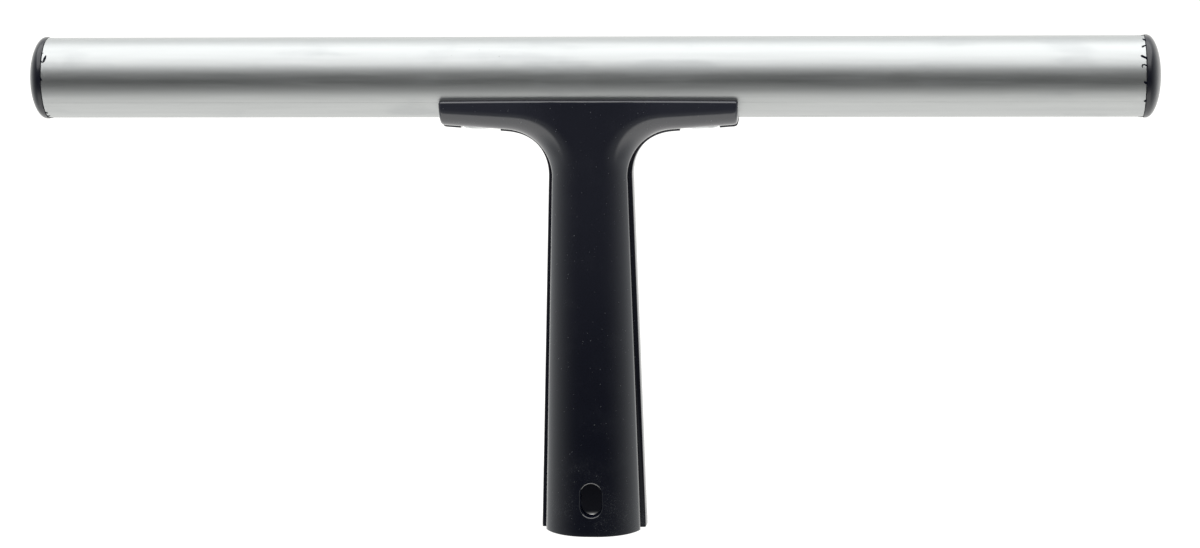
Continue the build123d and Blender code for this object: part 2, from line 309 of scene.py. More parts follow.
@dataclass(frozen=True)
class BlackPlastic:
    """Blue-black moulding: orange-peel gloss, hairline scuffs, dust, and wear near a foot, plus a painted
    reflection sheen that lightens the colour up the grip and on the T's arms.
    """

    name: str
    tone: Colour = (0.0040, 0.0050, 0.0120)
    dusty_tone: Colour = (0.020, 0.022, 0.029)
    dust_tone: Colour = (0.22, 0.23, 0.24)
    roughness: float = 0.14
    specular: float = 1.0
    peel_scale: float = 1500.0
    peel_height: float = 0.000006
    dust: float = 1.0
    worn_below: float = 0.045
    # Painted sheen: a paler tone blended in by height and on the arms, standing in for reflected light.
    painted_sheen_tone: Colour = (0.034, 0.0355, 0.049)
    painted_sheen_from: float = 0.020
    painted_sheen_to: float = 0.120
    haze_share: float = 0.40
    arm_haze_share: float = 0.42
    arm_painted_sheen_from: float = 0.007
    arm_painted_sheen_to: float = 0.026
    bore_radius: float = 0.0129
    bore_top: float = 0.065
    bore_roughness: float = 0.55
    bore_specular: float = 0.10

    def build(self) -> bpy.types.Material:
        """Make the material.

        Returns:
            The material.
        """
        material, graph = new_graph(self.name)
        place = graph.place()
        height = place.part("Z")
        foot = height.step(self.worn_below, 0.0)
        peel = graph.noise(place, self.peel_scale, 3.0, 0.55)
        cloud = graph.noise(place, 90.0, 4.0, 0.6)
        speckle = graph.noise(place, 2100.0, 3.0, 0.65)
        scuffed = foot * cloud.step(0.38, 0.60) * speckle.step(0.50, 0.68)
        hair = self._hairlines(graph, place)
        dust = self._dust(graph, place, foot)
        colour = graph.blend(cloud.step(0.5, 0.8) * 0.35 + scuffed * 0.65, self.tone, self.dusty_tone)
        # Painted reflection sheen: the colour turns paler up the grip and on the T's arms.
        aside = place.part("X").maths("ABSOLUTE")
        arms = aside.step(self.arm_painted_sheen_from, self.arm_painted_sheen_to) * height.step(0.105, 0.118) * self.arm_haze_share
        painted_sheen = height.step(self.painted_sheen_from, self.painted_sheen_to) * self.haze_share
        colour = graph.blend((painted_sheen + arms).limited(), colour, self.painted_sheen_tone)
        colour = graph.blend(dust, colour, self.dust_tone)
        rough = self.roughness + (cloud - 0.5) * 0.16 + scuffed * 0.22 + hair * 0.12 + dust * 0.3
        relief = peel + speckle * foot * 0.9 - hair * 0.8
        normal = graph.bump(relief, self.peel_height)
        outside = {"Base Color": colour, "Roughness": rough.limited(), "Normal": normal}
        outside["Specular IOR Level"] = self.specular
        inside = {"Base Color": self.tone, "Roughness": self.bore_roughness, "Normal": normal}
        inside["Specular IOR Level"] = self.bore_specular
        glossy = graph.add("ShaderNodeBsdfPrincipled", None, outside)
        dull = graph.add("ShaderNodeBsdfPrincipled", None, inside)
        bore = self._bore(graph, place, height)
        mixed = graph.add("ShaderNodeMixShader", None, {0: bore, 1: glossy, 2: dull})
        graph.add("ShaderNodeOutputMaterial", None, {"Surface": mixed})
        return material

    def _bore(self, graph: Graph, place: Signal, height: Signal) -> Signal:
        """Find the pole's socket near the foot.

        Args:
            graph: the material's graph.
            place: the point being shaded.
            height: its Z.

        Returns:
            One inside the socket, nought elsewhere.
        """
        level = graph.stretched(place, (1.0, 1.0, 0.0))
        reach = graph.vector("LENGTH", level, output="Value")
        soft = self.bore_radius * 0.02
        within = reach.step(self.bore_radius + soft, self.bore_radius - soft)
        return within * height.step(self.bore_top, self.bore_top * 0.9)

    @staticmethod
    def _hairlines(graph: Graph, place: Signal) -> Signal:
        """Draw thin scuff lines that run mostly up and down.

        Args:
            graph: the material's graph.
            place: the point being shaded.

        Returns:
            One on a line, nought elsewhere.
        """
        bent = graph.noise(place, 60.0, 2.0)
        swirled = graph.vector("ADD", place, graph.stretched(bent, (0.003,) * 3))
        lines = graph.noise(graph.stretched(swirled, (5200.0, 5200.0, 260.0)), 1.0, 1.0)
        patches = graph.noise(place, 120.0, 2.0)
        return lines.step(0.66, 0.74) * patches.step(0.5, 0.62)

    def _dust(self, graph: Graph, place: Signal, foot: Signal) -> Signal:
        """Scatter pale specks, thicker near the foot.

        Args:
            graph: the material's graph.
            place: the point being shaded.
            foot: how near the foot it is.

        Returns:
            How much of the colour is dust.
        """
        total: Operand = 0.0
        sway = graph.stretched(graph.noise(place, 1900.0, 2.0), (0.0011, -0.0008, 0.0013))
        bent = graph.vector("ADD", place, sway)
        for scale, size, rarity in ((520.0, 0.10, 0.90), (1300.0, 0.20, 0.90)):
            chance = graph.cells(bent, scale, "Color").part("X") + foot * 0.05
            spot = graph.cells(bent, scale).step(size, size * 0.4) * chance.step(rarity, rarity + 0.02)
            total = spot + total
        return (total * 0.55 * self.dust).limited()


@dataclass(frozen=True)
class BareMetal:
    """Small metal fasteners: tumbled, drawn or plated, with faint grain."""

    name: str
    tone: Colour
    roughness: float
    grain: float = 2200.0
    relief: float = 0.000004

    def build(self) -> bpy.types.Material:
        """Make the material.

        Returns:
            The material.
        """
        material, graph = new_graph(self.name)
        place = graph.place()
        fine = graph.noise(place, self.grain, 3.0, 0.6)
        broad = graph.noise(place, self.grain / 9, 2.0)
        dull = tuple(part * 0.7 for part in self.tone)
        graph.principled(
            {
                "Base Color": graph.blend(broad.step(0.4, 0.7), self.tone, dull),
                "Metallic": 1.0,
                "Roughness": (self.roughness + (fine - 0.5) * 0.2).limited(),
                "Normal": graph.bump(fine, self.relief),
            }
        )
        return material


@dataclass(frozen=True)
class LightTable:
    """The plain pale floor: a lit white sheet.

    Direct sight sees the sheet. Reflections pass it and see the room's own lower half.
    """

    tone: Colour = (0.30, 0.30, 0.30)
    glow_tone: Colour = (1.0, 0.995, 0.975)
    glow: float = 0.92

    def build(self) -> bpy.types.Material:
        """Make the material.

        Returns:
            The material.
        """
        material, graph = new_graph("light_table")
        fibre = graph.noise(graph.place(), 300.0, 4.0, 0.6) * 0.01 + 0.99
        glow = {"Color": graph.lit(self.glow_tone, fibre), "Strength": self.glow}
        light = graph.add("ShaderNodeEmission", None, glow)
        sheet = graph.add("ShaderNodeBsdfDiffuse", None, {"Color": self.tone})
        direct = graph.add("ShaderNodeAddShader", None, {0: light, 1: sheet})
        clear = graph.add("ShaderNodeBsdfTransparent")
        seen = graph.add("ShaderNodeLightPath", output="Is Camera Ray")
        surface = graph.add("ShaderNodeMixShader", None, {0: seen, 1: clear, 2: direct})
        graph.add("ShaderNodeOutputMaterial", None, {"Surface": surface})
        return material


@dataclass(frozen=True)
class StudioRoom:
    """The room: dark in front, brighter towards the back, and a lit sheet below and behind.

    Directions are unit vectors. The sheet begins a set angle below the front horizon.
    """

    tone: Colour = (0.97, 1.0, 1.0)
    sheet_tone: Colour = (1.0, 0.995, 0.975)
    dimmest: float = 0.036
    rise: float = 0.385
    rise_power: float = 1.6
    sheet: float = 1.29
    sheet_angle: float = 40.0
    sheet_soft: float = 0.075
    side_start: float = 0.45
    side_end: float = 0.85
    glow_below: float = 0.18
    glow_start: float = -0.20
    glow_end: float = -0.50
    sight: float = 1.2

    def build(self) -> bpy.types.World:
        """Make the world.

        Returns:
            The world.
        """
        world = bpy.data.worlds.new("studio_room")
        world.use_nodes = True
        graph = Graph(world.node_tree)
        ray = graph.add("ShaderNodeTexCoord", output="Generated")
        x, y, z = (ray.part(axis) for axis in "XYZ")
        room = (y + 1.0) ** self.rise_power * self.rise + self.dimmest
        room = room + z.step(self.glow_start, self.glow_end) * self.glow_below
        angle = math.radians(self.sheet_angle)
        past = y * math.sin(angle) - z * math.cos(angle)
        middle = x.maths("ABSOLUTE").step(self.side_end, self.side_start)
        sheet = past.step(-self.sheet_soft, self.sheet_soft) * middle
        level = room + sheet * (self.sheet - room)
        seen = graph.add("ShaderNodeLightPath", output="Is Camera Ray")
        level = seen * self.sight + (1.0 - seen) * level
        tone = graph.blend(sheet, self.tone, self.sheet_tone)
        shade = graph.add("ShaderNodeBackground", None, {"Color": graph.lit(tone, level), "Strength": 1.0})
        graph.add("ShaderNodeOutputWorld", None, {"Surface": shade})
        return world


# --- Mesh helpers ---


@contextmanager
def editing(piece: bpy.types.Object) -> Iterator[bmesh.types.BMesh]:
    """Lend out a piece's mesh, and write it back.

    Args:
        piece: the object.

    Yields:
        Its mesh, open for edits.
    """
    form = bmesh.new()
    form.from_mesh(piece.data)
    yield form
    form.to_mesh(piece.data)
    form.free()


def make_piece(name: str, points: Sequence[Point], faces: Sequence[Sequence[int]]) -> bpy.types.Object:
    """An object from points in millimetres.

    Args:
        name: the object's name.
        points: its vertices.
        faces: the vertex numbers of each face.

    Returns:
        The object, linked to the scene.
    """
    mesh = bpy.data.meshes.new(name)
    mesh.from_pydata([Vector(p) * MM for p in points], [], faces)
    mesh.validate()
    piece = bpy.data.objects.new(name, mesh)
    bpy.context.scene.collection.objects.link(piece)
    with editing(piece) as form:
        bmesh.ops.recalc_face_normals(form, faces=form.faces)
    return piece


def combine(piece: bpy.types.Object, other: bpy.types.Object, operation: str) -> None:
    """Cut or join one closed mesh with another.

    Args:
        piece: the mesh that is kept.
        other: the mesh that is used up.
        operation: the Boolean modifier's operation.
    """
    modifier = piece.modifiers.new(operation.lower(), "BOOLEAN")
    modifier.operation = operation
    modifier.solver = "EXACT"
    modifier.object = other
    apply_modifiers(piece)
    bpy.data.objects.remove(other)


def absorb(piece: bpy.types.Object, other: bpy.types.Object) -> None:
    """Add another closed mesh to a piece.

    Args:
        piece: the mesh that is kept.
        other: the mesh that is used up.
    """
    with editing(piece) as form:
        form.from_mesh(other.data)
    bpy.data.objects.remove(other)


def apply_modifiers(piece: bpy.types.Object) -> None:
    """Replace a mesh with what its modifiers make of it.

    Args:
        piece: the object.
    """
    bpy.context.view_layer.update()
    graph = bpy.context.evaluated_depsgraph_get()
    mesh = bpy.data.meshes.new_from_object(piece.evaluated_get(graph))
    old = piece.data
    piece.modifiers.clear()
    piece.data = mesh
    mesh.name = piece.name
    bpy.data.meshes.remove(old)


def smooth(piece: bpy.types.Object, sharp_angle: float = 32.0, merge: float = 0.004) -> None:
    """Merge doubled points, drop slivers and shade smooth.

    Args:
        piece: the object.
        sharp_angle: an edge bent by more than these degrees stays sharp.
        merge: how near two points are one.
    """
    with editing(piece) as form:
        bmesh.ops.remove_doubles(form, verts=form.verts, dist=merge * MM)
        bmesh.ops.dissolve_degenerate(form, edges=form.edges, dist=merge * MM)
    piece.data.shade_smooth()
    piece.data.set_sharp_from_angle(angle=math.radians(sharp_angle))


def dress(piece: bpy.types.Object, material: bpy.types.Material) -> None:
    """Finish a new piece and fix it to the body.

    Args:
        piece: the object.
        material: its only material.
    """
    piece.data.materials.clear()
    piece.data.materials.append(material)
    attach(piece, BODY)
    log.info("%s: %d faces", piece.name, len(piece.data.polygons))


def loft_rings(name: str, rings: Sequence[Sequence[Point]], looped: bool = False) -> bpy.types.Object:
    """Make a closed solid through rings of equal length.

    Args:
        name: the object's name.
        rings: the rings in order.
        looped: whether the last ring joins the first. Otherwise both ends are filled.

    Returns:
        The solid.
    """
    count = len(rings[0])
    total = len(rings) * count
    points = [point for ring in rings for point in ring]
    faces: list[list[int]] = [] if looped else [list(range(count))]
    for row in range(len(rings) - (not looped)):
        for spot in range(count):
            here = row * count + spot
            beside = row * count + (spot + 1) % count
            faces.append([here, beside, (beside + count) % total, (here + count) % total])
    if not looped:
        faces.append(list(range(total - count, total)))
    return make_piece(name, points, faces)


class Axis(Enum):
    """An axis of the frame, by its place in a point."""

    X = 0
    Y = 1
    Z = 2


def circle(axis: Axis, centre: Point, radius: float, steps: int) -> list[Point]:
    """Make a ring square to an axis.

    Args:
        axis: the axis.
        centre: its middle.
        radius: its radius.
        steps: how many points it has.

    Returns:
        Its points.
    """
    first, second = (spot for spot in range(3) if spot != axis.value)
    points = []
    for turn in np.linspace(0, 2 * math.pi, steps, endpoint=False):
        point = list(centre)
        point[first] += radius * math.cos(turn)
        point[second] += radius * math.sin(turn)
        points.append(tuple(point))
    return points


def block(name: str, low: Point, high: Point) -> bpy.types.Object:
    """A box between two corners."""
    ring = [(low[0], low[1]), (high[0], low[1]), (high[0], high[1]), (low[0], high[1])]
    return loft_rings(name, [[(x, y, z) for x, y in ring] for z in (low[2], high[2])])


def blended(share: float, low: float, high: float) -> float:
    """A number between low and high, eased at both ends."""
    share = min(max(share, 0.0), 1.0)
    return low + (high - low) * share * share * (3 - 2 * share)


def angle_gap(angle: float, other: float) -> float:
    """The degrees between two directions, the short way round."""
    return abs((angle - other + 180) % 360 - 180)


# --- Tube and caps ---


class Side(Enum):
    """An end of the tube."""

    LEFT = -1
    RIGHT = 1

    @property
    def word(self) -> str:
        """The side's name in lower case."""
        return self.name.lower()


@dataclass
class Tube:
    """The aluminium tube, with its guide lines."""

    diameter: float = 25.0
    wall: float = 1.3
    axis_z: float = 142.8
    scribe_angle: float = 31.7
    scribe_half_width: float = 0.45
    scribe_depth: float = 0.03
    steps: int = 256
    end_round: float = 0.25
    half_length: float = field(init=False)

    def __post_init__(self) -> None:
        """Read the tube's length from the frame."""
        low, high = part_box("tube")
        self.half_length = (high.x - low.x) / 2 / MM

    @property
    def radius(self) -> float:
        """Outer radius."""
        return self.diameter / 2

    @property
    def _lines(self) -> tuple[float, float]:
        """The guide lines' angles."""
        return -self.scribe_angle, 180 + self.scribe_angle

    def _angles(self) -> list[float]:
        """Spread angles round the tube, closer at each guide line.

        Returns:
            The angles in order.
        """
        even = list(np.linspace(0, 360, self.steps, endpoint=False))
        for line in self._lines:
            even = [angle for angle in even if angle_gap(angle, line) > 1.3 * self.scribe_half_width]
            even += [(line + step * self.scribe_half_width) % 360 for step in (-1, -0.3, 0, 0.3, 1)]
        return sorted(even)

    def _outer(self, angle: float) -> float:
        """Find the outer radius, which is less in a guide line.

        Args:
            angle: degrees round the tube.

        Returns:
            The radius there.
        """
        radius = self.radius
        for line in self._lines:
            off = angle_gap(angle, line) / self.scribe_half_width
            if off < 0.99:
                radius -= self.scribe_depth * (1 - off)
        return radius

    def _ring(self, x: float, inset: float, inner: bool = False) -> list[Point]:
        """Make one ring of the outer face or of the bore.

        Args:
            x: where it is along the tube.
            inset: how far an end's rounding has turned in.
            inner: whether it is in the bore.

        Returns:
            Its points.
        """
        points = []
        for angle in self._angles():
            radius = self.radius - self.wall + inset if inner else self._outer(angle) - inset
            turn = math.radians(angle)
            points.append((x, radius * math.cos(turn), self.axis_z + radius * math.sin(turn)))
        return points

    def build(self) -> bpy.types.Object:
        """Make the tube as one closed skin: outside, ends and bore.

        Returns:
            The tube, with its rivet holes.
        """
        end, edge = self.half_length, self.end_round
        stations = [(-end, edge), (-end + edge, 0.0)]
        runs = np.linspace(-end + edge, end - edge, 41)[1:-1]
        stations += [(x, 0.0) for x in runs]
        stations += [(end - edge, 0.0), (end, edge)]
        rings = [self._ring(x, inset) for x, inset in stations]
        rings += [self._ring(end, edge, True), self._ring(end - edge, 0, True)]
        rings += [self._ring(-end + edge, 0, True), self._ring(-end, edge, True)]
        piece = loft_rings("aluminium_tube", rings, looped=True)
        for side in Side:
            x = side.value * RIVET_X
            levels = (self.axis_z - 20, self.axis_z)
            hole = [circle(Axis.Z, (x, 0.0, z), RIVET_HOLE_RADIUS, 32) for z in levels]
            combine(piece, loft_rings("cutter", hole), "DIFFERENCE")
        smooth(piece, 25.0)
        return piece

    def dress(self, piece: bpy.types.Object) -> None:
        """Finish the tube and let it stand for the CAD one."""
        dress(piece, AnodisedAluminium().build())
        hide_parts("tube")


# Each curl is a run of points: how far in from the tube's end, degrees above the front, half width.
SHAVINGS: dict[Side, tuple[tuple[tuple[float, float, float], ...], ...]] = {
    Side.LEFT: (
        ((-0.1, 44.6, 0.30), (0.45, 44.0, 0.15)),
        ((1.45, 40.0, 0.18), (1.25, 36.0, 0.33), (0.95, 31.0, 0.30), (0.80, 29.5, 0.15)),
        ((-0.1, 32.0, 0.15), (0.35, 30.0, 0.20), (0.85, 29.0, 0.12)),
        ((-0.1, 6.0, 0.35), (0.25, 4.5, 0.28), (0.60, 3.0, 0.10)),
        ((-0.1, -52.0, 0.30), (0.50, -54.0, 0.30), (0.75, -55.0, 0.15)),
        ((-0.1, -63.0, 0.25), (0.50, -66.0, 0.30), (0.95, -64.0, 0.20)),
        ((-0.1, -72.0, 0.35), (0.60, -78.0, 0.35), (1.00, -82.0, 0.20)),
    ),
    Side.RIGHT: (
        ((-0.1, 92.0, 0.30), (0.40, 90.0, 0.25), (0.90, 88.0, 0.15)),
        ((-0.1, 66.0, 0.30), (0.50, 69.0, 0.30), (0.80, 71.0, 0.15)),
        ((-0.1, 55.0, 0.20), (0.50, 54.0, 0.22), (1.00, 52.5, 0.30), (1.35, 51.0, 0.15)),
        ((-0.1, 31.5, 0.25), (0.60, 33.5, 0.30), (1.40, 35.5, 0.33), (1.80, 36.5, 0.20)),
        ((-0.1, 21.0, 0.20), (0.70, 22.5, 0.18), (1.35, 22.5, 0.22), (1.60, 20.5, 0.14), (1.30, 18.5, 0.10)),
        ((-0.1, -4.0, 0.30), (0.50, -2.5, 0.30), (0.95, -1.0, 0.18)),
        ((-0.1, -29.0, 0.35), (0.40, -31.0, 0.30), (0.70, -30.0, 0.15)),
        ((-0.1, -74.0, 0.30), (0.60, -80.0, 0.30), (1.20, -86.0, 0.28)),
    ),
}


@dataclass
class EndCap:
    """A domed cap with its plain spigot, and the slivers left where its rim was trimmed."""

    side: Side
    tube: Tube
    rim_radius: float = 12.745
    rim_length: float = 0.6
    dome: float = 4.597
    spigot_radius: float = 10.7
    spigot_length: float = 14.0
    spigot_wall: float = 1.6
    steps: int = 192
    seed: int = 5
    raggedness: float = 0.09
    shaving_sink: float = 0.03
    shaving_rise: float = 0.13
    shaving_spread: float = 1.25

    def _x(self, out: float) -> float:
        """The X of a point that lies out beyond the tube's end."""
        return self.side.value * (self.tube.half_length + out)

    def build(self) -> bpy.types.Object:
        """Make the cap as one closed skin: dome, rim, shoulder, spigot and its hollow.

        Returns:
            The cap.
        """
        profile = []
        for turn in np.linspace(90, 0, 26)[:-1]:
            t = math.radians(turn)
            profile.append((self.rim_length + self.dome * math.sin(t), self.rim_radius * math.cos(t), 0.0))
        profile[0] = (profile[0][0], 0.02, 0.0)
        profile += [(self.rim_length, self.rim_radius, 0.0)]
        profile += [(self.rim_length * 0.45, self.rim_radius, 0.35)]
        profile += [(0.06, self.rim_radius - 0.03, 1.0), (0.0, self.rim_radius - 0.14, 1.0)]
        root = self.tube.radius - self.tube.wall - 0.1
        profile += [(0.0, root, 0.0), (-1.0, self.spigot_radius, 0.0)]
        profile += [(-self.spigot_length, self.spigot_radius - 0.3, 0.0)]
        profile += [(-self.spigot_length, self.spigot_radius - self.spigot_wall, 0.0)]
        profile += [(-0.3, self.spigot_radius - self.spigot_wall, 0.0), (-0.3, 0.02, 0.0)]
        source = random.Random(self.seed + self.side.value)
        wobble = [source.uniform(-1, 1) for _ in range(self.steps)]
        rings = []
        for out, radius, ragged in profile:
            ring = []
            for spot in range(self.steps):
                turn = 2 * math.pi * spot / self.steps
                nibble = ragged * self.raggedness * (wobble[spot] + wobble[spot - 1]) / 2
                r = radius + nibble * 0.5
                x = self._x(out + nibble)
                ring.append((x, r * math.cos(turn), self.tube.axis_z + r * math.sin(turn)))
            rings.append(ring)
        piece = loft_rings("cap_" + self.side.word, rings)
        smooth(piece, 40.0, WELD)
        return piece

    def build_shavings(self) -> bpy.types.Object:
        """Make the curls of plastic left along the cap's rim.

        Returns:
            One piece that holds them all.
        """
        first, *others = (self._shaving(path) for path in SHAVINGS[self.side])
        for other in others:
            absorb(first, other)
        first.name = first.data.name = "cap_shavings_" + self.side.word
        smooth(first, 50.0, WELD)
        return first

    def _shaving(self, path: Sequence[tuple[float, float, float]]) -> bpy.types.Object:
        """A curl of plastic that lies on the tube, as one closed solid.

        Args:
            path: for each point, how far in from the tube's end it is, how many degrees above the
                front of the tube, and half the curl's width.

        Returns:
            The curl.
        """
        rings = []
        for spot, (inward, angle, half) in enumerate(path):
            before, after = path[max(spot - 1, 0)], path[min(spot + 1, len(path) - 1)]
            along = Vector((after[0] - before[0], math.radians(after[1] - before[1]) * self.tube.radius))
            along.normalize()
            ring = []
            low, high = -self.shaving_sink, self.shaving_rise
            for side, rise in ((-1, low), (-0.9, high * 0.5), (0, high), (0.9, high * 0.5), (1, low)):
                shift_in = -along.y * side * half * self.shaving_spread
                shift_up = math.degrees(along.x * side * half * self.shaving_spread / self.tube.radius)
                turn = math.radians(angle + shift_up)
                radius = self.tube.radius + rise
                x = self._x(-inward - shift_in)
                ring.append((x, -radius * math.cos(turn), self.tube.axis_z + radius * math.sin(turn)))
            rings.append(ring)
        return loft_rings("shaving", rings)

    def dress(self, piece: bpy.types.Object, material: bpy.types.Material) -> None:
        """Finish the cap and let it stand for the CAD one."""
        dress(piece, material)
        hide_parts("end_cap_" + self.side.word)


# --- Handle ---


@dataclass
class HandleOutline:
    """The handle's front outline, shared by both shells and grown outwards by an offset."""

    neck_z: float = 112.4
    flare_x: float = 26.8
    flare_radius: float = 15.0
    arm_slope: float = 4.4
    half_length: float = 46.0
    lip_z: float = 136.75
    lip_crown: float = 0.25
    top_corner: float = 0.9
    under_corner: float = 1.3

    def _corner(self, x: float, radius: float) -> float:
        """How far a rounded corner of the arm's end has turned in at an X."""
        short = min(max(radius - (self.half_length - abs(x)), 0.0), radius)
        return radius - math.sqrt(radius * radius - short * short)

    def lip(self, x: float) -> float:
        """The lip's height at an X."""
        crown = self.lip_crown * (1 - (x / self.half_length) ** 2)
        return self.lip_z + crown - self._corner(x, self.top_corner)

    def flare(self, angle: float, offset: float) -> tuple[float, float, float, float]:
        """Find a point of the flare.

        Args:
            angle: degrees turned from the neck.
            offset: how far the outline is grown.

        Returns:
            Its X and Z, and the X and Z of its inward normal.
        """
        radius = self.flare_radius - offset
        turn = math.radians(angle)
        inward = (-math.cos(turn), math.sin(turn))
        return (self.flare_x + radius * inward[0], self.neck_z + radius * inward[1], *inward)

    def arm(self, x: float, offset: float) -> tuple[float, float, float, float]:
        """Find a point of the arm's underside.

        Args:
            x: where it is along the arm.
            offset: how far the outline is grown.

        Returns:
            Its X and Z, and the X and Z of its inward normal.
        """
        slope = math.radians(self.arm_slope)
        start = self.flare(90 - self.arm_slope, offset)
        z = start[1] + (x - start[0]) * math.tan(slope) + self._corner(x, self.under_corner)
        return (x, z, -math.sin(slope), math.cos(slope))


@dataclass
class Station:
    """One place along half of the outline, with how the form is rounded there."""

    x: float
    z: float
    inward: tuple[float, float]
    spine: tuple[float, float]
    rounding: float

    def at(self, step: float) -> tuple[float, float]:
        """The X and Z a step in from the outline."""
        return self.x + self.inward[0] * step, self.z + self.inward[1] * step


@dataclass
class ShellForm:
    """The outer form of one shell: a skin over the outline, rounded towards its edge.

    The rounding is widest at the foot, where the grip is nearly round, and narrowest on the arms.
    """

    outline: HandleOutline
    facing: int
    offset: float
    foot_half_width: float
    edge_y: float
    flare_offset: float = 0.0
    arm_offset: float = 0.0
    lean: float = 0.0
    foot_edge: float = 0.28
    foot_depth: float = 16.05
    head_depth: float = 12.8
    foot_rounding: float = 14.5
    neck_rounding: float = 11.0
    arm_rounding: float = 6.3
    end_rounding: float = 5.8
    rounding_hold: float = 1.5
    edge_round: float = 0.3
    corner_round: float = 0.8
    spine_turn: float = 0.12
    spine_reach: float = 20.0
    depth_ease: float = 0.006
    edge_land: float = 0.05
    grip_steps: int = 64
    flare_steps: int = 56
    arm_steps: int = 30
    round_steps: int = 16
    flat_steps: int = 8

    def depth(self, z: float) -> float:
        """Find how far the flat of the face stands from the middle plane.

        Args:
            z: the height.

        Returns:
            The distance.
        """
        share = (self.outline.neck_z - z) / self.outline.neck_z
        eased = min((share + math.sqrt(share * share + self.depth_ease)) / 2, 1.0)
        return self.head_depth + (self.foot_depth - self.head_depth) * eased - self._foot_inset(z)

    def _foot_inset(self, z: float) -> float:
        """How far the rounded foot edge has turned in at a height."""
        short = min(max(self.foot_edge - z, 0.0), self.foot_edge)
        return self.foot_edge - math.sqrt(self.foot_edge**2 - (short * 0.95) ** 2)

    def grip_row(self, z: float) -> tuple[float, float]:
        """Find the grip's section at a height.

        Args:
            z: the height.

        Returns:
            Its widest half width and its rounding.
        """
        share = z / self.outline.neck_z
        neck_x = self.outline.flare(0, self.offset)[0] + self._spread(self.neck_rounding, self.head_depth)
        half = self.foot_half_width + (neck_x - self.foot_half_width) * share - self._foot_inset(z)
        rounding = self.foot_rounding + (self.neck_rounding - self.foot_rounding) * share
        return half, rounding - self._foot_inset(z)

    def face_depth(self, x: float, z: float) -> float:
        """Find how far the grip's rounded face stands from the middle plane.

        Args:
            x: how far the point is from the middle.
            z: its height.

        Returns:
            The distance.
        """
        half, rounding = self.grip_row(z)
        reach = min(max(abs(x) - (half - rounding), 0.0), rounding)
        return self.depth(z) - rounding + math.sqrt(rounding * rounding - reach * reach)

    def _spread(self, rounding: float, depth: float) -> float:
        """Find how far the widest line of the rounding lies outside the edge.

        Args:
            rounding: the rounding's radius.
            depth: how far the flat of the face stands from the middle plane.

        Returns:
            The distance.
        """
        reach = self.edge_depth - (depth - rounding)
        if reach <= 0:
            return 0.0
        return rounding - math.sqrt(rounding * rounding - reach * reach)

    @property
    def edge_depth(self) -> float:
        """The edge's distance from the middle plane, negative past it."""
        return self.edge_y * self.facing

    def stations(self) -> list[Station]:
        """Walk from the foot up the side, round the flare and out along the arm.

        Returns:
            The stations in order.
        """
        line = self.outline
        found = []
        heights = [self.foot_edge * part for part in (0.0, 0.1, 0.25, 0.5, 0.75)]
        heights += list(np.linspace(self.foot_edge, line.neck_z, self.grip_steps, endpoint=False))
        for z in heights:
            x, rounding = self.grip_row(float(z))
            found.append(Station(x, float(z), (-1.0, 0.0), (0.0, float(z)), rounding))
        last = 90 - line.arm_slope
        climb = line.lip(0.0) - line.neck_z
        shares = [self.spine_turn * (1 - self.corner_round * part / climb) for part in CLOSING_STEPS]
        shares = sorted([*np.linspace(0, 1, self.flare_steps, endpoint=False), *shares])
        for share in shares:
            x, z, nx, nz = line.flare(float(share) * last, self._offset_at(float(share)))
            rounding = blended(share**self.rounding_hold, self.neck_rounding, self.arm_rounding)
            spread = self._spread(rounding, self.depth(z))
            spine = self._flare_spine(float(share))
            found.append(Station(x - nx * spread, z - nz * spread, (nx, nz), spine, rounding))
        start_x = line.flare(last, self.arm_offset)[0]
        reach = line.half_length - self.corner_round
        places = list(np.linspace(start_x, reach, self.arm_steps, endpoint=False))
        places += [line.half_length - self.corner_round * part for part in CLOSING_STEPS]
        spine_x = self._flare_spine(1.0)[0]
        for x in places:
            share = (x - start_x) / (line.half_length - start_x)
            px, pz, nx, nz = line.arm(float(x), self.arm_offset)
            rounding = self.arm_rounding + (self.end_rounding - self.arm_rounding) * share
            inward = (nx * (1 - share), nz)
            at = spine_x + (line.half_length - spine_x) * share
            found.append(Station(px, pz, inward, (at, line.lip(at)), rounding))
        return found

    def _offset_at(self, share: float) -> float:
        """Find the outline's growth, from the neck's through the flare's to the arm's.

        Args:
            share: how far along the flare.

        Returns:
            The growth.
        """
        if share < 0.5:
            return blended(share * 2, self.offset, self.flare_offset)
        return blended(share * 2 - 1, self.flare_offset, self.arm_offset)

    def _flare_spine(self, share: float) -> tuple[float, float]:
        """Find where a flare station's cross line ends: up the middle, then along the lip.

        Args:
            share: how far along the flare.

        Returns:
            The X and Z of that end.
        """
        line = self.outline
        turn = self.spine_turn
        top = line.lip(0.0)
        if share <= turn:
            return 0.0, line.neck_z + (top - line.neck_z) * share / turn
        out = (share - turn) / (1 - turn) * self.spine_reach
        return out, line.lip(out)

    def _corner_drop(self, x: float, z: float) -> float:
        """Find how far the face falls away at the arm's end and at the lip.

        Args:
            x: the point's X.
            z: its height.

        Returns:
            The fall.
        """
        drop = 0.0
        radius = self.corner_round
        for gap in (self.outline.half_length - abs(x), self.outline.lip(x) - z):
            short = min(radius - max(gap, 0.0), radius)
            if short > 0:
                drop += radius - math.sqrt(radius**2 - short**2)
        return min(drop, radius)

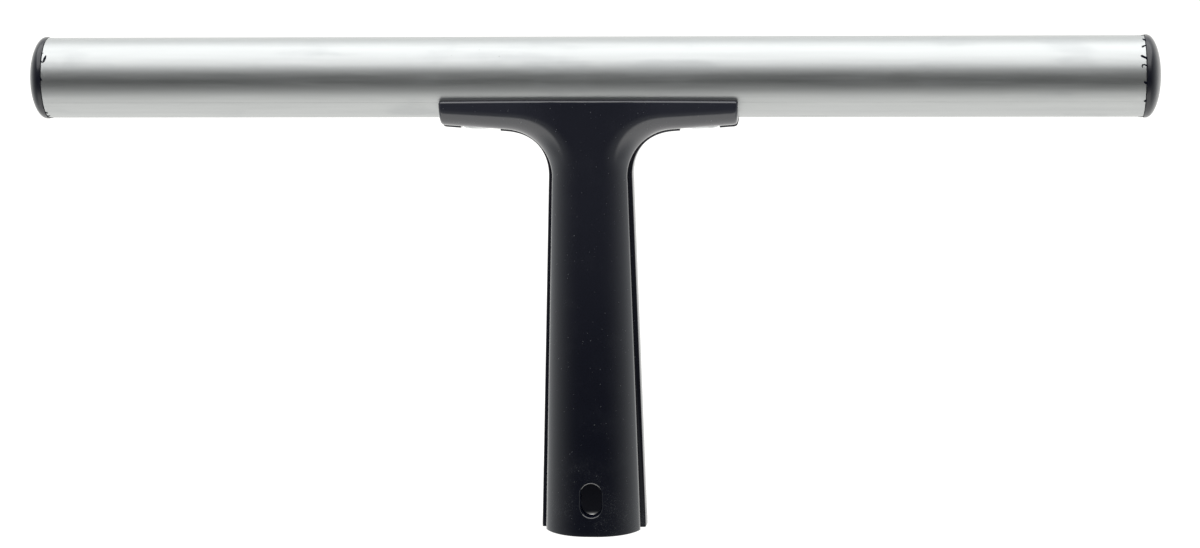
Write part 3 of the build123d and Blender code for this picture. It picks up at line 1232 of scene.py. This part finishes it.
    def row(self, station: Station) -> list[Point]:
        """Make the points across one station, from the spine out and round to the edge.

        Args:
            station: the place.

        Returns:
            The points, with how far each stands from the middle plane as its Y.
        """
        depth_here = self.depth(station.z)
        rounding = station.rounding
        centre_depth = depth_here - rounding
        low_depth = self.edge_depth + self.edge_round
        stop = low_depth + self.edge_land
        if centre_depth >= stop:
            last = 90.0
        else:
            last = math.degrees(math.acos(min(1.0, (stop - centre_depth) / rounding)))
        inner = station.at(rounding)
        points = []
        shares = [0.0, 0.006, 0.02, 0.045, 0.08]
        shares += list(np.linspace(0.08, 1.0, self.flat_steps + 1)[1:])
        for share in shares:
            x = station.spine[0] + (inner[0] - station.spine[0]) * share
            z = station.spine[1] + (inner[1] - station.spine[1]) * share
            points.append((x, self.depth(z) - self._corner_drop(x, z), z))
        cut = self._corner_drop(station.x, 0.0)
        for angle in np.linspace(0, last, self.round_steps + 1)[1:]:
            turn = math.radians(float(angle))
            out = rounding - (rounding - cut) * math.sin(turn)
            x, z = station.at(out)
            depth = self.depth(z) - rounding + (rounding - cut) * math.cos(turn)
            points.append((x, depth, z))
        out = rounding - (rounding - cut) * math.sin(math.radians(last))
        if self.lean:
            start_depth = points[-1][1]
            for part in np.linspace(0, 1, 6)[1:-1]:
                step = out + self.lean * part * part
                x, z = station.at(step)
                points.append((x, start_depth + (low_depth - start_depth) * part, z))
            out += self.lean
        for inset, above in ((0.0, 1.0), (0.29, 0.29), (1.0, 0.0)):
            x, z = station.at(out + self.edge_round * inset)
            points.append((x, self.edge_depth + self.edge_round * above, z))
        return points

    def build(self, name: str) -> bpy.types.Object:
        """Make the closed form: face, edge, flat back, foot, lip and arm ends.

        Args:
            name: the object's name.

        Returns:
            The form.
        """
        rows = [self.row(station) for station in self.stations()]
        width = len(rows[0])
        points: list[Point] = []
        numbers: dict[tuple[int, int, int], int] = {}
        faces: list[list[int]] = []

        def number(side: int, row: int, column: int) -> int:
            """Number a grid point, shared by both sides where X is nought.

            Args:
                side: which side it is on.
                row: its station.
                column: its place across the station.

            Returns:
                Its number.
            """
            x, depth, z = rows[row][column]
            key = (0 if abs(x) < 1e-6 else side, row, column)
            if key not in numbers:
                numbers[key] = len(points)
                points.append((side * x, depth * self.facing, z))
            return numbers[key]

        for side in (-1, 1):
            for row in range(len(rows) - 1):
                for column in range(width - 1):
                    corners = [(row, column), (row + 1, column), (row + 1, column + 1), (row, column + 1)]
                    face = list(dict.fromkeys(number(side, *corner) for corner in corners))
                    if len(face) > 2:
                        faces.append(face)
        form = make_piece(name, points, faces)
        self._close(form)
        return form

    def _close(self, form: bpy.types.Object) -> None:
        """Carry the open border straight back to the edge plane, and fill the back.

        Args:
            form: the open form.
        """
        with editing(form) as shape:
            bmesh.ops.remove_doubles(shape, verts=shape.verts, dist=WELD * MM)
            border = [edge for edge in shape.edges if edge.is_boundary]
            made = bmesh.ops.extrude_edge_only(shape, edges=border)["geom"]
            for vertex in made:
                if isinstance(vertex, bmesh.types.BMVert):
                    vertex.co.y = self.edge_y * MM
            bmesh.ops.remove_doubles(shape, verts=shape.verts, dist=WELD * MM)
            border = [edge for edge in shape.edges if edge.is_boundary]
            bmesh.ops.contextual_create(shape, geom=border)
            bmesh.ops.recalc_face_normals(shape, faces=shape.faces)


# The lock hole's wall: how far below the grip's face each ring lies, and how far it is grown.
HOLE_WALL = ((None, -0.25), (0.55, 0.0), (0.36, 0.07), (0.10, 0.30), (-0.04, 0.44), (-2.0, 2.4))


@dataclass
class Handle:
    """The two-shell handle: front cover and rear body."""

    outline: HandleOutline
    tube: Tube
    cover_edge_y: float = -6.4
    ledge_y: float = -2.8
    ledge_width: float = 1.5
    cover_half_width: float = 15.84
    flare_ledge: float = 1.15
    arm_ledge: float = 1.55
    ledge_lean: float = 0.33
    body_half_width: float = 16.75
    body_foot_edge: float = 0.45
    tongue_inset: float = 1.5
    tongue_foot: float = 13.2
    tongue_tip_y: float = -7.8
    tongue_half_length: float = 44.0
    saddle_clearance: float = 0.02
    socket_radius: float = 12.5
    socket_straight: float = 24.0
    socket_end_radius: float = 9.4
    socket_end_z: float = 102.0
    hole_width: float = 6.6
    hole_height: float = 10.6
    hole_z: float = 11.65
    notch_width: float = 12.3
    notch_back_y: float = 6.6
    notch_top_z: float = 128.7
    screw_x: float = 5.6
    screw_z: float = 117.0
    screw_seat_y: float = 6.0
    screw_seat_radius: float = 3.4

    def _tongue(self, clearance: float) -> bpy.types.Object:
        """Make the rear shell's inner wall.

        Args:
            clearance: how far it is grown.

        Returns:
            The wall.
        """
        line = self.outline
        offset = clearance - self.tongue_inset
        half = [(self.tongue_foot + clearance, -1.0 if clearance else 0.0)]
        for angle in np.linspace(0, 90 - line.arm_slope, 24):
            x, z, _, _ = line.flare(float(angle), offset)
            half.append((x, z))
        reach = self.tongue_half_length + clearance
        x, z, _, _ = line.arm(reach, offset)
        half += [(x, z), (x, line.lip_z - 0.3)]
        ring = half + [(-x, z) for x, z in reversed(half)]
        back = self.ledge_y + 2.0
        rings = [[(x, y, z) for x, z in ring] for y in (self.tongue_tip_y - clearance, back)]
        return loft_rings("tongue", rings)

    def _saddle(self) -> bpy.types.Object:
        """The space that the tube fills."""
        radius = self.tube.radius + self.saddle_clearance
        rings = [circle(Axis.X, (x, 0.0, self.tube.axis_z), radius, 256) for x in (-60.0, 60.0)]
        return loft_rings("saddle", rings)

    def _socket(self) -> bpy.types.Object:
        """Make the pole's space, with a softened mouth.

        Returns:
            The space.
        """
        levels = [(-1.0, self.socket_radius + 1.0), (0.0, self.socket_radius + 0.75)]
        levels += [(0.45, self.socket_radius + 0.42), (1.4, self.socket_radius)]
        levels += [(self.socket_straight, self.socket_radius), (self.socket_end_z, self.socket_end_radius)]
        return loft_rings("socket", [circle(Axis.Z, (0.0, 0.0, z), radius, 160) for z, radius in levels])

    def _lock_hole(self, form: ShellForm) -> bpy.types.Object:
        """Make the oval hole: a wall with some draft, and a chamfer along the grip's face.

        Args:
            form: the shell that it goes through.

        Returns:
            The space that it takes away.
        """
        straight = (self.hole_height - self.hole_width) / 2
        rings = []
        for sunk, grow in HOLE_WALL:
            ring = []
            for turn in np.linspace(0, 2 * math.pi, 96, endpoint=False):
                radius = self.hole_width / 2 + grow
                lift = straight if math.sin(turn) > 0 else -straight
                x, z = radius * math.cos(turn), self.hole_z + lift + radius * math.sin(turn)
                y = -9.0 if sunk is None else sunk - form.face_depth(x, max(z, form.foot_edge))
                ring.append((x, y, z))
            rings.append(ring)
        return loft_rings("lock_hole", rings)

    def build_cover(self) -> bpy.types.Object:
        """Make the front shell.

        Returns:
            The shell.
        """
        form = ShellForm(self.outline, -1, 0.0, self.cover_half_width, self.cover_edge_y)
        piece = form.build("front_cover")
        for cutter in (self._saddle(), self._socket(), self._tongue(0.08), self._lock_hole(form)):
            combine(piece, cutter, "DIFFERENCE")
        smooth(piece)
        return piece

    def build_body(self) -> bpy.types.Object:
        """Make the rear shell.

        Returns:
            The shell.
        """
        form = ShellForm(
            self.outline,
            1,
            self.ledge_width,
            self.body_half_width,
            self.ledge_y,
            self.flare_ledge,
            self.arm_ledge,
            self.ledge_lean,
            self.body_foot_edge,
        )
        piece = form.build("rear_body")
        combine(piece, self._tongue(0.0), "UNION")
        for cutter in (self._saddle(), self._socket()):
            combine(piece, cutter, "DIFFERENCE")
        for side in Side:
            x = side.value * RIVET_X
            low = (x - self.notch_width / 2, -12.0, self.outline.neck_z)
            high = (x + self.notch_width / 2, self.notch_back_y, self.notch_top_z)
            combine(piece, block("notch", low, high), "DIFFERENCE")
            levels = (self.notch_top_z - 4, self.tube.axis_z)
            rings = [circle(Axis.Z, (x, 0.0, z), RIVET_HOLE_RADIUS, 40) for z in levels]
            combine(piece, loft_rings("rivet_hole", rings), "DIFFERENCE")
            x = side.value * self.screw_x
            depths = (self.screw_seat_y, 20.0)
            rings = [circle(Axis.Y, (x, y, self.screw_z), self.screw_seat_radius, 48) for y in depths]
            combine(piece, loft_rings("screw_seat", rings), "DIFFERENCE")
        smooth(piece)
        return piece

    def dress(self, cover: bpy.types.Object, body: bpy.types.Object) -> None:
        """Finish both shells and let them stand for the CAD ones.

        Args:
            cover: the front shell.
            body: the rear shell.
        """
        plastic = BlackPlastic("black_handle_plastic").build()
        dress(cover, plastic)
        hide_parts("handle_front_cover")
        dress(body, plastic)
        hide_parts("handle_rear_body")


# --- Fasteners ---


class Fasteners:
    """The CAD rivets, their pins and the shell screws, given real metal finishes."""

    FINISHES = {
        "rivet_": BareMetal("tumbled_rivet_aluminium", (0.66, 0.67, 0.68), 0.38),
        "rivet_mandrel_": BareMetal("drawn_mandrel_steel", (0.42, 0.42, 0.43), 0.42),
        "shell_screw_": BareMetal("zinc_plated_screw_steel", (0.62, 0.63, 0.64), 0.30),
    }

    def dress(self) -> None:
        """Give each fastener on each side its finish."""
        for stem, finish in self.FINISHES.items():
            material = finish.build()
            for side in Side:
                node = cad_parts[stem + side.word]
                node.data.materials.clear()
                node.data.materials.append(material)
                log.info("%s: %d faces", node.name, len(node.data.polygons))


# --- Studio ---


@dataclass
class Studio:
    """Pale floor, soft light and the camera."""

    floor_size: float = 6.0
    camera_azimuth: float = 4.0
    camera_elevation: float = 10.28
    camera_roll: float = 0.575
    camera_distance: float = 1021.9
    focal_share: float = 3300.0 / 1200.0
    aim_right: float = -3.05
    aim_up: float = 61.05
    tube_z: float = 142.8
    box_place: Point = (0.0, -0.53, 1.25)
    box_size: tuple[float, float] = (3.0, 2.2)
    box_radiance: float = 1.92

    def build_floor(self) -> bpy.types.Object:
        """Make the floor under the handle's foot.

        Returns:
            The floor.
        """
        half = self.floor_size / 2 / MM
        shape = [(-half, -half, 0), (half, -half, 0), (half, half, 0), (-half, half, 0)]
        floor = make_piece("floor", shape, [[0, 1, 2, 3]])
        floor.data.materials.append(LightTable().build())
        return floor

    def build_light(self) -> None:
        """Hang the soft box overhead, facing down, and light the room."""
        data = bpy.data.lights.new("overhead_box", "AREA")
        data.shape = "RECTANGLE"
        data.size, data.size_y = self.box_size
        data.energy = self.box_radiance * math.pi * data.size * data.size_y
        lamp = bpy.data.objects.new("overhead_box", data)
        lamp.location = self.box_place
        lamp.rotation_euler = Vector((0.0, 0.0, -1.0)).to_track_quat("-Z", "Y").to_euler()
        bpy.context.scene.collection.objects.link(lamp)
        bpy.context.scene.world = StudioRoom().build()

    def build_camera(self) -> None:
        """Set the camera slightly to the right and above, rolled so that the tube is level."""
        a, e = math.radians(self.camera_azimuth), math.radians(self.camera_elevation)
        back = Vector((math.sin(a) * math.cos(e), -math.cos(a) * math.cos(e), math.sin(e)))
        right = Vector((math.cos(a), math.sin(a), 0.0))
        up = back.cross(right)
        roll = math.radians(self.camera_roll)
        level_right = right * math.cos(roll) - up * math.sin(roll)
        level_up = right * math.sin(roll) + up * math.cos(roll)
        middle = Vector((0.0, 0.0, self.tube_z))
        place = middle + back * self.camera_distance - level_right * self.aim_right - level_up * self.aim_up
        data = bpy.data.cameras.new("camera")
        data.sensor_width = 36.0
        data.lens = data.sensor_width * self.focal_share
        camera = bpy.data.objects.new("camera", data)
        turn = Matrix((level_right, level_up, back)).transposed()
        camera.matrix_world = Matrix.Translation(place * MM) @ turn.to_4x4()
        bpy.context.scene.collection.objects.link(camera)
        bpy.context.scene.camera = camera
        bpy.context.scene.view_settings.view_transform = "Standard"


def main() -> None:
    """Build every assembly in order."""
    logging.basicConfig(level=logging.INFO, format="%(name)s %(message)s")
    studio = Studio()
    studio.build_camera()
    studio.build_floor()
    studio.build_light()
    tube = Tube()
    tube.dress(tube.build())
    # The caps take no painted sheen by height, and a faint painted sheen from the arms' mask.
    cap_painted_sheen = {"haze_share": 0.0, "arm_haze_share": 0.05}
    cap_plastic = BlackPlastic("black_cap_plastic", roughness=0.30, specular=0.7, dust=0.5, **cap_painted_sheen).build()
    torn_plastic = BlackPlastic("torn_cap_plastic", roughness=0.75, specular=0.08, dust=0.0, **cap_painted_sheen).build()
    for side in Side:
        cap = EndCap(side, tube)
        cap.dress(cap.build(), cap_plastic)
        dress(cap.build_shavings(), torn_plastic)
    handle = Handle(HandleOutline(), tube)
    handle.dress(handle.build_cover(), handle.build_body())
    Fasteners().dress()


if __name__ == "__main__":
    main()
